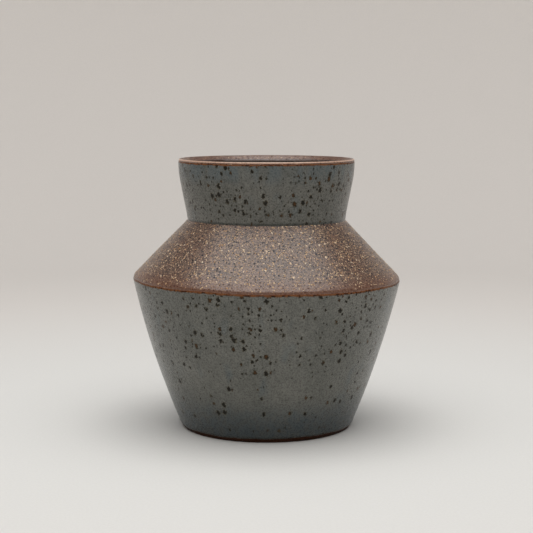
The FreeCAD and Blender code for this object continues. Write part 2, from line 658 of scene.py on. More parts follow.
@dataclass(frozen=True)
class Edges:
    """The four lines where glaze stops on the clay, with the seed of each one's wander."""

    places: tuple[float, ...]
    seeds: tuple[float, ...] = (11.0, 23.0, 37.0, 53.0)
    strengths: tuple[float, ...] = (0.7, 0.8, 0.3, 1.0)
    reach: float = 5.0

    def pull(self, along: np.ndarray) -> tuple[np.ndarray, np.ndarray]:
        """Say how much each point follows the nearest line's wander.

        Args:
            along: Distances along the section.

        Returns:
            A weight and the line's seed for each point.
        """
        gaps = np.abs(along[:, None] - np.array(self.places)[None, :])
        nearest = gaps.argmin(axis=1)
        weight = (1 - eased(gaps.min(axis=1), 0.8, self.reach)) * np.array(self.strengths)[nearest]
        return weight, np.array(self.seeds)[nearest]


@dataclass
class ThrownBody:
    """The fired clay: floor, turned foot, wall, shoulder, neck and bare lip."""

    wall: Wall
    edges: Edges
    tree: TurningTree
    bare_depth: float = 0.12
    coated_depth: float = 0.42
    ease: float = 0.7
    step: float = 1.5
    hand: Hand = Hand(segments=320, ring_pitch=3.1, ring_height=0.02, unevenness=0.07, seed=3.0)

    def depth(self, along: np.ndarray) -> np.ndarray:
        """Say how far the clay lies under the frame's surface: more where glaze covers it.

        Args:
            along: Distances along the section.

        Returns:
            A depth in millimetres for each.
        """
        wall = self.wall
        spans = (
            (wall.foot_line, wall.shoulder_line),
            (wall.neck_base, wall.neck_top),
            (wall.liner_top, wall.along[-1] + 10),
        )
        cover = np.zeros_like(along)
        for start, end in spans:
            inside = np.minimum(along - start, end - along)
            cover = np.maximum(cover, eased(inside, 0.1, self.ease))
        return self.bare_depth + (self.coated_depth - self.bare_depth) * cover

    def build(self, finish: bpy.types.Material) -> bpy.types.Object:
        """Turn the clay.

        Args:
            finish: The bare clay's material.

        Returns:
            The clay as one closed mesh.
        """
        wall = self.wall
        lines = [wall.foot_line, wall.shoulder_line, wall.neck_base, wall.neck_top, wall.liner_top]
        along = wall.stations(0.0, wall.along[-1], self.step, lines)
        points, outward = wall.at(along)
        under_foot = along < wall.foot_corner
        depth = self.depth(along)
        depth[under_foot | (points[:, 0] < 1e-6)] = 0.0
        points = points - outward * depth[:, None]
        points[:, 0] = np.maximum(points[:, 0], 0.0)
        points[:, 1] = np.maximum(points[:, 1], 0.0)
        points[[0, -1], 0] = 0.0
        pull, seeds = self.edges.pull(along)
        off_foot = eased(along, wall.foot_corner, wall.foot_corner + 1.0)
        near_axis = eased(points[:, 0], 1.0, 8.0)
        inside = eased(along, wall.liner_top, wall.liner_top + 6)
        weights = np.column_stack([
            off_foot * near_axis * (1 + 3 * inside), pull * off_foot, off_foot * near_axis,
        ])
        signed = self.bare_distance(along)
        marks = np.column_stack([signed, along, seeds])
        return turned("thrown_body", self.tree, self.hand, finish,
                      points=points, outward=outward, weights=weights, marks=marks)

    def bare_distance(self, along: np.ndarray) -> np.ndarray:
        """Give the distance from a bare point to the nearest glaze edge, negative under glaze.

        Args:
            along: Distances along the section.

        Returns:
            A signed distance in millimetres for each.
        """
        wall = self.wall
        gaps = np.abs(along[:, None] - np.array([wall.foot_line, wall.shoulder_line, wall.neck_top,
                                                 wall.liner_top])[None, :]).min(axis=1)
        covered = (
            ((along > wall.foot_line) & (along < wall.shoulder_line))
            | ((along > wall.neck_base) & (along < wall.neck_top))
            | (along > wall.liner_top)
        )
        return np.where(covered, -gaps, gaps)


@dataclass
class GlazeCoat:
    """A coat of glaze on a stretch of the wall, round at its edges and closed behind."""

    name: str
    node: str
    slot: str
    wall: Wall
    edges: Edges
    tree: TurningTree
    start: float
    end: float
    hand: Hand
    start_roll: float = 0.7
    end_roll: float = 0.9
    start_swell: float = 0.0
    sunk: float = 0.4
    bare_depth: float = 0.12
    step: float = 0.9
    closed_at_axis: bool = False

    def build(self, finish: bpy.types.Material) -> bpy.types.Object:
        """Turn the coat.

        Args:
            finish: The glaze's material.

        Returns:
            The coat as one closed mesh.
        """
        wall = self.wall
        ends = [self.start] if self.closed_at_axis else [self.start, self.end]
        along = wall.stations(self.start, self.end, self.step, ends)
        from_start = along - self.start
        from_end = np.full_like(along, np.inf) if self.closed_at_axis else self.end - along
        rounding = np.minimum(self.roll(from_start, self.start_roll), self.roll(from_end, self.end_roll))
        swell = self.start_swell * np.exp(-((from_start - 0.9) / 0.9) ** 2)
        top = swell * rounding - self.bare_depth * (1 - rounding)
        points, outward = wall.at(along)
        face = points + outward * top[:, None]
        back_along = along[::3] if (len(along) - 1) % 3 == 0 else np.append(along[::3], along[-1])
        back_points, back_outward = wall.at(back_along)
        back = (back_points - back_outward * self.sunk)[::-1]
        loop = np.vstack([back, face]) if self.closed_at_axis else np.vstack([face, back, face[:1]])
        loop[:, 0] = np.where(loop[:, 0] < 1e-4, 0.0, loop[:, 0])
        return self.turn(loop, along, back_along, outward, back_outward, finish)

    @staticmethod
    def roll(distance: np.ndarray, width: float) -> np.ndarray:
        """Give the rise of a rounded edge, from 0 at the edge to 1 past its width."""
        share = np.clip(1 - distance / width, 0.0, 1.0)
        return np.sqrt(1 - share**2)

    def turn(self, loop: np.ndarray, along: np.ndarray, back_along: np.ndarray, outward: np.ndarray,
             back_outward: np.ndarray, finish: bpy.types.Material) -> bpy.types.Object:
        """Give each point of the loop its weights and marks, and turn it.

        Args:
            loop: The section's points, front and back.
            along: Distances of the front's points.
            back_along: Distances of the back's points.
            outward: Normals of the front.
            back_outward: Normals of the back.
            finish: The glaze's material.

        Returns:
            The turned mesh.
        """
        front_pull, front_seeds = self.edges.pull(along)
        back_pull, back_seeds = self.edges.pull(back_along)
        shown = np.ones_like(along)
        hidden = np.zeros_like(back_along)

        def round_loop(front: np.ndarray, back: np.ndarray) -> np.ndarray:
            """Order values as the loop's points are."""
            back = back[::-1]
            return np.concatenate([back, front] if self.closed_at_axis else [front, back, front[:1]])

        pull = round_loop(front_pull, back_pull)
        near_axis = eased(loop[:, 0], 1.0, 8.0)
        edge_ease = eased(along - self.start, 0.2, 2.0)
        if not self.closed_at_axis:
            edge_ease = edge_ease * eased(self.end - along, 0.2, 2.0)
        weights = np.column_stack([
            round_loop(edge_ease, hidden) * near_axis, pull, round_loop(edge_ease, hidden) * near_axis,
        ])
        marks = np.column_stack([
            round_loop(self.end - along, self.end - back_along),
            round_loop(along - self.start, back_along - self.start),
            round_loop(front_seeds, back_seeds),
        ])
        normals = round_loop(outward, back_outward)
        return turned(self.name, self.tree, self.hand, finish,
                      points=loop, outward=normals, weights=weights, marks=marks)


# --------------------------------------------------------------------------- loose grains and beads


class ScatterTree(ShapeTree):
    """The tree that sets small lumps into a surface, each turned and sized by chance."""

    name = "lumps_in_a_surface"
    inputs = {
        "Per Square Metre": "Float", "Spacing": "Float", "Band Low": "Float", "Band High": "Float",
        "Along Low": "Float", "Along High": "Float", "Small": "Float", "Large": "Float",
        "Flatness": "Float", "Sink": "Float", "Seed": "Int",
    }
    full_turn, share, stretch = (0.0, FULL_TURN), (0.0, 1.0), (0.8, 1.9)
    rarity = 2.2
    worn_scale = 2600.0
    worn_reach = 0.3

    def build(self) -> None:
        """Fill the tree."""
        tree = self.tree
        given = add(tree, "NodeGroupInput").outputs
        marks = add(tree, "GeometryNodeInputNamedAttribute", {"Name": "marks"}, data_type="FLOAT_VECTOR")
        mark = add(tree, "SeparateXYZ", marks).outputs
        above = add(tree, "Math GREATER_THAN", mark["X"], given["Band Low"])
        below = add(tree, "Math LESS_THAN", mark["X"], given["Band High"])
        past = add(tree, "Math GREATER_THAN", mark["Y"], given["Along Low"])
        short = add(tree, "Math LESS_THAN", mark["Y"], given["Along High"])
        chosen = add(tree, "Math MULTIPLY", add(tree, "Math MULTIPLY", above, below),
                     add(tree, "Math MULTIPLY", past, short))
        spread = add(tree, "GeometryNodeDistributePointsOnFaces", {
            "Mesh": given["Geometry"],
            "Distance Min": given["Spacing"],
            "Density Max": given["Per Square Metre"],
            "Density Factor": chosen,
            "Seed": given["Seed"],
        }, distribute_method="POISSON")
        normal = spread.outputs["Normal"]
        draws = []
        for offset, (low, high) in enumerate((self.full_turn, self.share, self.stretch, self.share)):
            seed = add(tree, "Math ADD", given["Seed"], offset + 1)
            draws.append(add(tree, "FunctionNodeRandomValue", low, high, None, seed, data_type="FLOAT"))
        turn, toss, longer, tint = draws
        drop = add(tree, "VectorMath SCALE", normal, given["Sink"])
        sunk = add(tree, "GeometryNodeSetPosition", {
            "Geometry": spread.outputs["Points"], "Offset": drop,
        })
        lump = add(tree, "GeometryNodeMeshIcoSphere", {"Radius": 1.0, "Subdivisions": 1}).outputs["Mesh"]
        aligned = add(tree, "FunctionNodeAlignRotationToVector", {"Vector": normal}, axis="Z")
        spin = add(tree, "CombineXYZ", {"Z": turn})
        twist = add(tree, "FunctionNodeEulerToRotation", {"Euler": spin})
        way = add(tree, "FunctionNodeRotateRotation", {
            "Rotation": aligned, "Rotate By": twist,
        }, rotation_space="LOCAL")
        size = add(tree, "MapRange", {
            "Value": add(tree, "Math POWER", toss, self.rarity),
            "To Min": given["Small"],
            "To Max": given["Large"],
        }, interpolation_type="LINEAR")
        stretch = add(tree, "CombineXYZ", {
            "X": add(tree, "Math MULTIPLY", size, longer),
            "Y": size,
            "Z": add(tree, "Math MULTIPLY", size, given["Flatness"]),
        })
        set_in = add(tree, "GeometryNodeInstanceOnPoints", {
            "Points": sunk, "Instance": lump, "Rotation": way, "Scale": stretch,
        })
        tinted = add(tree, "GeometryNodeStoreNamedAttribute", {
            "Geometry": set_in, "Name": "tint", "Value": tint,
        }, data_type="FLOAT", domain="INSTANCE")
        real = add(tree, "GeometryNodeRealizeInstances", {"Geometry": tinted})
        worn = add(tree, "TexNoise", {
            "Vector": add(tree, "GeometryNodeInputPosition"), "Scale": self.worn_scale, "Detail": 1.0,
        }, noise_dimensions="3D", normalize=False).outputs["Color"]
        rough = add(tree, "VectorMath SCALE", worn, given["Small"])
        broken = add(tree, "VectorMath SCALE", rough, self.worn_reach)
        shaped = add(tree, "GeometryNodeSetPosition", {
            "Geometry": real, "Offset": broken,
        })
        smooth = add(tree, "GeometryNodeSetShadeSmooth", {"Geometry": shaped, "Shade Smooth": True})
        dressed = add(tree, "GeometryNodeSetMaterial", {"Geometry": smooth, "Material": given["Finish"]})
        add(tree, "NodeGroupOutput", {"Geometry": dressed})


@dataclass
class Lumps:
    """Small lumps set into a turned surface, in millimetres."""

    name: str
    tree: ScatterTree
    per_square_centimetre: float
    spacing: float
    band: tuple[float, float]
    along: tuple[float, float]
    small: float
    large: float
    flatness: float
    sink: float
    seed: int

    def build(self, ground: bpy.types.Object, finish: bpy.types.Material) -> bpy.types.Object:
        """Scatter the lumps over a copy of the ground's mesh.

        Args:
            ground: The turned piece that they sit in.
            finish: The lumps' material.

        Returns:
            All the lumps as one mesh.
        """
        piece = bpy.data.objects.new(self.name, ground.data.copy())
        bpy.context.scene.collection.objects.link(piece)
        piece.data.materials.clear()
        values = {
            "Per Square Metre": self.per_square_centimetre * 1e4,
            "Spacing": self.spacing * MM,
            "Band Low": self.band[0],
            "Band High": self.band[1],
            "Along Low": self.along[0],
            "Along High": self.along[1],
            "Small": self.small * MM,
            "Large": self.large * MM,
            "Flatness": self.flatness,
            "Sink": -self.sink * MM,
            "Seed": self.seed,
            "Finish": finish,
        }
        return self.tree.run(piece, values)


# --------------------------------------------------------------------------- finishes


def new_finish(name: str) -> tuple[bpy.types.Material, bpy.types.NodeTree, bpy.types.Node]:
    """Start a material with one Principled shader.

    Args:
        name: The finish's name.

    Returns:
        The material, its tree and the shader.
    """
    material = bpy.data.materials.new(name)
    material.use_nodes = True
    tree = material.node_tree
    tree.nodes.clear()
    shader = add(tree, "BsdfPrincipled")
    add(tree, "OutputMaterial", shader)
    return material, tree, shader


def in_millimetres(tree: bpy.types.NodeTree) -> Any:
    """Give the piece's own coordinates in millimetres."""
    place = add(tree, "TexCoord").outputs["Object"]
    return add(tree, "VectorMath SCALE", place, 1 / MM)


def patches(tree: bpy.types.NodeTree, vector: Any, size: float, detail: float = 2.0,
            rough: float = 0.5) -> Any:
    """Give soft noise from 0 to 1.

    Args:
        tree: The shader tree.
        vector: Coordinates in millimetres.
        size: The patches' size in millimetres.
        detail: How many finer layers there are.
        rough: How strong the finer layers are.

    Returns:
        The noise's node.
    """
    return add(tree, "TexNoise", {"Vector": vector, "Scale": 1 / size, "Detail": detail, "Roughness": rough})


def stretched(tree: bpy.types.NodeTree, vector: Any, upward: float) -> Any:
    """Draw a pattern out up and down the wall by a factor."""
    return add(tree, "VectorMath MULTIPLY", vector, (1.0, 1.0, 1 / upward))


def ragged(tree: bpy.types.NodeTree, vector: Any, size: float, reach: float) -> Any:
    """Shift coordinates by chance, so that round patterns come out uneven.

    Args:
        tree: The shader tree.
        vector: Coordinates in millimetres.
        size: The size of the shifts' swells.
        reach: How far they shift.

    Returns:
        The shifted coordinates.
    """
    noise = add(tree, "TexNoise", vector, 1 / size, 2.0, normalize=False)
    shift = add(tree, "VectorMath SCALE", noise.outputs["Color"], reach)
    return add(tree, "VectorMath ADD", vector, shift)


# How far apart the two flats of an unrolled wall lie, in millimetres, so that their spots differ.
FLAT_GAP = 700.0


@dataclass(frozen=True)
class Unrolled:
    """The wall laid flat twice, cut once behind and once in front, so that no spot meets a cut.

    Each flat runs across in millimetres round a drum of one radius, and up along the wall.
    """

    flats: tuple[Any, Any]
    widen: Any
    half_width: float

    @classmethod
    def of(cls, tree: bpy.types.NodeTree, place: Any, along: Any, drum: float) -> "Unrolled":
        """Lay the wall flat.

        Args:
            tree: The shader tree.
            place: Coordinates in millimetres.
            along: The distance along the wall.
            drum: The drum's radius in millimetres, near the wall's own.

        Returns:
            The unrolled wall.
        """
        at = add(tree, "SeparateXYZ", place).outputs
        flats = []
        for side, shift in ((-1.0, 0.0), (1.0, FLAT_GAP)):
            angle = add(tree, "Math ARCTAN2", at["X"], add(tree, "Math MULTIPLY", at["Y"], side))
            flats.append(add(tree, "CombineXYZ", add(tree, "Math MULTIPLY", angle, drum),
                             add(tree, "Math ADD", along, shift)))
        squares = add(tree, "Math ADD", add(tree, "Math MULTIPLY", at["X"], at["X"]),
                      add(tree, "Math MULTIPLY", at["Y"], at["Y"]))
        widen = add(tree, "Math DIVIDE", add(tree, "Math SQRT", squares), drum)
        return cls(tuple(flats), widen, math.pi / 2 * drum)


@dataclass(frozen=True)
class Drawn:
    """What the spots give at a point: depth is 1 at a spot's centre, 0 at its rim, less outside."""

    depth: Any
    toss: Any


@dataclass(frozen=True)
class Spots:
    """Spots thrown at random over an unrolled wall, at most one to a cell, few of them large.

    Sizes are in millimetres. The spots gather in crowds where gather is more than nothing, and
    thin out along the wall from thin_from to thin_to.
    """

    cell: float
    smallest: float
    largest: float
    share: float
    rarity: float = 2.5
    long: float = 1.0
    any_way: bool = False
    rough: float = 0.15
    gather: float = 0.0
    thin_from: float = 0.0
    thin_to: float = 0.0
    thinnest: float = 1.0
    far_outside: float = -50.0

    def draw(self, tree: bpy.types.NodeTree, wall: Unrolled) -> Drawn:
        """Draw the spots over both flats, each spot kept on the flat whose middle is nearer.

        Args:
            tree: The shader tree.
            wall: The unrolled wall.

        Returns:
            The spots.
        """
        front, back = (self.on_flat(tree, flat, wall) for flat in wall.flats)
        is_back = add(tree, "Math GREATER_THAN", back.depth, front.depth)
        toss = add(tree, "Mix", is_back, front.toss, back.toss, data_type="FLOAT")
        return Drawn(add(tree, "Math MAXIMUM", front.depth, back.depth), toss)

    def on_flat(self, tree: bpy.types.NodeTree, flat: Any, wall: Unrolled) -> Drawn:
        """Draw the spots on one flat.

        Args:
            tree: The shader tree.
            flat: Coordinates on the flat, in millimetres.
            wall: The unrolled wall.

        Returns:
            The spots whose middles belong to this flat.
        """
        uneven = ragged(tree, flat, self.rough * 1.8, self.rough * 1.1)
        cells = add(tree, "TexVoronoi", {"Vector": uneven, "Scale": 1 / self.cell}, voronoi_dimensions="2D")
        middle = cells.outputs["Position"]
        tosses = add(tree, "SeparateColor", cells.outputs["Color"]).outputs
        reach = add(tree, "VectorMath SUBTRACT", uneven, middle)
        reach = add(tree, "VectorMath MULTIPLY", reach, add(tree, "CombineXYZ", wall.widen, 1.0))
        if self.any_way:
            turn = add(tree, "Math MULTIPLY", tosses[2], FULL_TURN * 3)
            reach = add(tree, "VectorRotate", {"Vector": reach, "Angle": turn}, rotation_type="Z_AXIS")
        shape = (math.sqrt(self.long), 1 / math.sqrt(self.long), 0.0)
        distance = add(tree, "VectorMath LENGTH", add(tree, "VectorMath MULTIPLY", reach, shape))
        grown = add(tree, "Math POWER", tosses[0], self.rarity)
        rim = add(tree, "Math MULTIPLY_ADD", grown, self.largest - self.smallest, self.smallest)
        depth = add(tree, "Math SUBTRACT", 1.0, add(tree, "Math DIVIDE", distance, rim))
        there = add(tree, "Math LESS_THAN", tosses[1], self.crowding(tree, middle))
        across = add(tree, "SeparateXYZ", middle).outputs["X"]
        own = add(tree, "Math LESS_THAN", add(tree, "Math ABSOLUTE", across), wall.half_width)
        absent = add(tree, "Math SUBTRACT", 1.0, add(tree, "Math MULTIPLY", there, own))
        return Drawn(add(tree, "Math MULTIPLY_ADD", absent, self.far_outside, depth), tosses[2])

    def crowding(self, tree: bpy.types.NodeTree, middle: Any) -> Any:
        """Give the share of cells that hold a spot.

        Args:
            tree: The shader tree.
            middle: The cell's middle on its flat.

        Returns:
            The share there, a plain number or a node.
        """
        share = self.share
        if self.gather:
            noise = add(tree, "TexNoise", middle, 1 / self.gather, 2.0, noise_dimensions="2D")
            share = add(tree, "MapRange", noise, 0.4, 0.62, share * 0.12, share)
        if self.thinnest < 1.0:
            along = add(tree, "Math MODULO", add(tree, "SeparateXYZ", middle).outputs["Y"], FLAT_GAP)
            share = add(tree, "Math MULTIPLY", share,
                        add(tree, "MapRange", along, self.thin_from, self.thin_to, 1.0, self.thinnest))
        return share


def marks_of(tree: bpy.types.NodeTree) -> Any:
    """Give the distances that the turned piece carries, in millimetres."""
    return add(tree, "SeparateXYZ", add(tree, "Attribute", attribute_name="marks").outputs["Vector"]).outputs


@dataclass(frozen=True)
class FiredStoneware:
    """Vitrified stoneware with grog, wiped with a sponge and left bare.

    It looks dry and brown from the side, and takes a greyish sheen where light glances off the
    fused skin. Pale grog shows through as flecks and slivers, and iron as blue-black ones.
    """

    crest: float
    crest_along: float
    clay: str = "5F422F"
    clay_dark: str = "2E1D15"
    clay_warm: str = "6C472E"
    scorched: str = "5E3215"
    grog: str = "D8BC9E"
    grog_tan: str = "9C7A5C"
    grog_bright: str = "ECD8BC"
    iron: str = "0E0E14"
    iron_blue: str = "202636"
    flash: str = "7A4018"
    # Near-black brown, used as painted shade on the bare foot and on the clay just inside the lip.
    foot: str = "26120A"
    # Pale clay painted on the outer top of the lip as a highlight.
    worn: str = "C8A792"
    foot_reach: float = 37.0
    drum: float = 40.0

    def flecks(self) -> tuple[tuple[Spots, float, str, str], ...]:
        """List the flecks from the faintest up.

        Returns:
            Each kind's spots, strength and two end colours.
        """
        return (
            (Spots(0.66, 0.12, 0.30, 0.65, 1.5, 1.5, True, 0.07), 0.75, self.clay_dark, self.iron),
            (Spots(0.55, 0.08, 0.20, 0.7, 1.5, 1.8, True, 0.06), 0.7, self.grog_tan, self.grog),
            (Spots(1.35, 0.18, 0.5, 0.62, 1.6, 1.3, True, 0.12), 0.95, self.iron, self.iron_blue),
            (Spots(1.0, 0.12, 0.34, 0.55, 2.0, 2.0, True, 0.09), 0.85, self.grog_tan, self.grog),
            (Spots(2.8, 0.22, 0.48, 0.45, 1.6, 1.8, True, 0.14), 0.9, self.grog, self.grog_bright),
        )

    def make(self) -> bpy.types.Material:
        """Build the material.

        Returns:
            The finish, ready to put on a piece.
        """
        material, tree, shader = new_finish("fired_grogged_stoneware")
        place = in_millimetres(tree)
        marks = marks_of(tree)
        wall = Unrolled.of(tree, place, marks["Y"], self.drum)
        broad = patches(tree, place, 9.0, 3.0, 0.6)
        colour = add(tree, "Mix", add(tree, "MapRange", broad, 0.35, 0.68), self.clay, self.clay_warm)
        grit = patches(tree, place, 0.7, 3.0, 0.7)
        colour = add(tree, "Mix", add(tree, "MapRange", grit, 0.62, 0.36), colour, self.clay_dark)
        lifted = add(tree, "Math MULTIPLY", grit, 0.6)
        dull = 0.0
        for spots, strength, plain, bright in self.flecks():
            drawn = spots.draw(tree, wall)
            mask = add(tree, "Math MULTIPLY", add(tree, "MapRange", drawn.depth, 0.0, 0.4), strength)
            colour = add(tree, "Mix", mask, colour, add(tree, "Mix", drawn.toss, plain, bright))
            lifted = add(tree, "Math MULTIPLY_ADD", mask, 0.25, lifted)
            dull = add(tree, "Math MAXIMUM", dull, mask)
        edge_noise = patches(tree, place, 2.2)
        reach = add(tree, "Math MULTIPLY", edge_noise, 0.36)
        full_until = add(tree, "Math MULTIPLY", reach, 0.4)
        near_glaze = add(tree, "MapRange", marks["X"], full_until, reach, 1.0, 0.0)
        warm_by = add(tree, "MapRange", marks["X"], 0.6, 8.0, 0.6, 0.0)
        colour = add(tree, "Mix", warm_by, colour, self.scorched)
        colour = add(tree, "Mix", add(tree, "Math MULTIPLY", near_glaze, 0.85), colour, self.flash)
        # Painted shade: the bare foot band and the underside, where they meet the floor, are turned
        # near-black brown.
        on_foot = add(tree, "MapRange", marks["Y"], self.foot_reach - 1.0, self.foot_reach, 1.0, 0.0)
        painted_foot_shade = add(tree, "MapRange", marks["Y"], 22.0, 30.0, 0.2, 0.85)
        painted_foot_shade = add(tree, "Math MULTIPLY", on_foot, painted_foot_shade)
        colour = add(tree, "Mix", painted_foot_shade, colour, self.foot)
        # Painted highlight along the outer top of the lip, broken up by the grit.
        height = add(tree, "SeparateXYZ", place).outputs["Z"]
        on_top = add(tree, "MapRange", height, self.crest - 0.68, self.crest - 0.48)
        outside = add(tree, "MapRange", marks["Y"], self.crest_along - 0.15, self.crest_along + 0.1, 0.9, 0.0)
        painted_crest_highlight = add(tree, "Math MULTIPLY", on_top, outside)
        painted_crest_highlight = add(tree, "Math MULTIPLY", painted_crest_highlight, add(tree, "MapRange", grit, 0.35, 0.55, 0.6, 1.0))
        colour = add(tree, "Mix", painted_crest_highlight, colour, self.worn)
        # Painted shade on the bare clay just above the liner's top edge, inside the mouth.
        painted_mouth_shade = add(tree, "Math MULTIPLY", add(tree, "MapRange", marks["X"], 0.3, 1.1, 0.9, 0.0),
                     add(tree, "Math GREATER_THAN", marks["Y"], self.crest_along))
        colour = add(tree, "Mix", painted_mouth_shade, colour, self.foot)
        fused = add(tree, "Math MULTIPLY", add(tree, "MapRange", grit, 0.3, 0.6, 0.5, 1.0),
                    add(tree, "Math MULTIPLY_ADD", dull, -0.75, 1.0))
        dry = add(tree, "Math SUBTRACT", 1.0, add(tree, "Math MAXIMUM", near_glaze, on_foot))
        shine = add(tree, "Math MULTIPLY", add(tree, "Math MULTIPLY_ADD", dull, -0.28, 0.4),
                    add(tree, "Math MULTIPLY_ADD", dry, 0.8, 0.2))
        feed(tree, shader, {
            "Base Color": colour,
            "Roughness": add(tree, "Math MULTIPLY_ADD", grit, 0.22, 0.34),
            "Coat Weight": add(tree, "Math MULTIPLY", fused, dry),
            "Specular IOR Level": shine,
            "Normal": add(tree, "Bump", {"Height": lifted, "Distance": 0.1 * MM}),
        })
        shader.inputs["IOR"].default_value = 1.5
        shader.inputs["Coat Roughness"].default_value = 0.34
        shader.inputs["Coat IOR"].default_value = 1.57
        return material


@dataclass(frozen=True)
class GrogGrain:
    """Crushed fired clay: pale, dry grains, some golden, that catch the light one by one."""

    pale: str = "E2C8A4"
    golden: str = "B58A5E"
    shaded: str = "7E5F46"

    def make(self) -> bpy.types.Material:
        """Build the material.

        Returns:
            The finish, ready to put on a piece.
        """
        material, tree, shader = new_finish("crushed_grog")
        tint = add(tree, "Attribute", attribute_name="tint").outputs["Fac"]
        place = in_millimetres(tree)
        colour = add(tree, "Mix", tint, self.golden, self.pale)
        grit = patches(tree, place, 0.25, 2.0)
        colour = add(tree, "Mix", add(tree, "MapRange", grit, 0.6, 0.3, 0.0, 0.4), colour, self.shaded)
        feed(tree, shader, {
            "Base Color": colour,
            "Roughness": add(tree, "Math MULTIPLY_ADD", grit, 0.3, 0.35),
            "Normal": add(tree, "Bump", {"Height": grit, "Distance": 0.03 * MM}),
        })
        shader.inputs["IOR"].default_value = 1.5
        return material


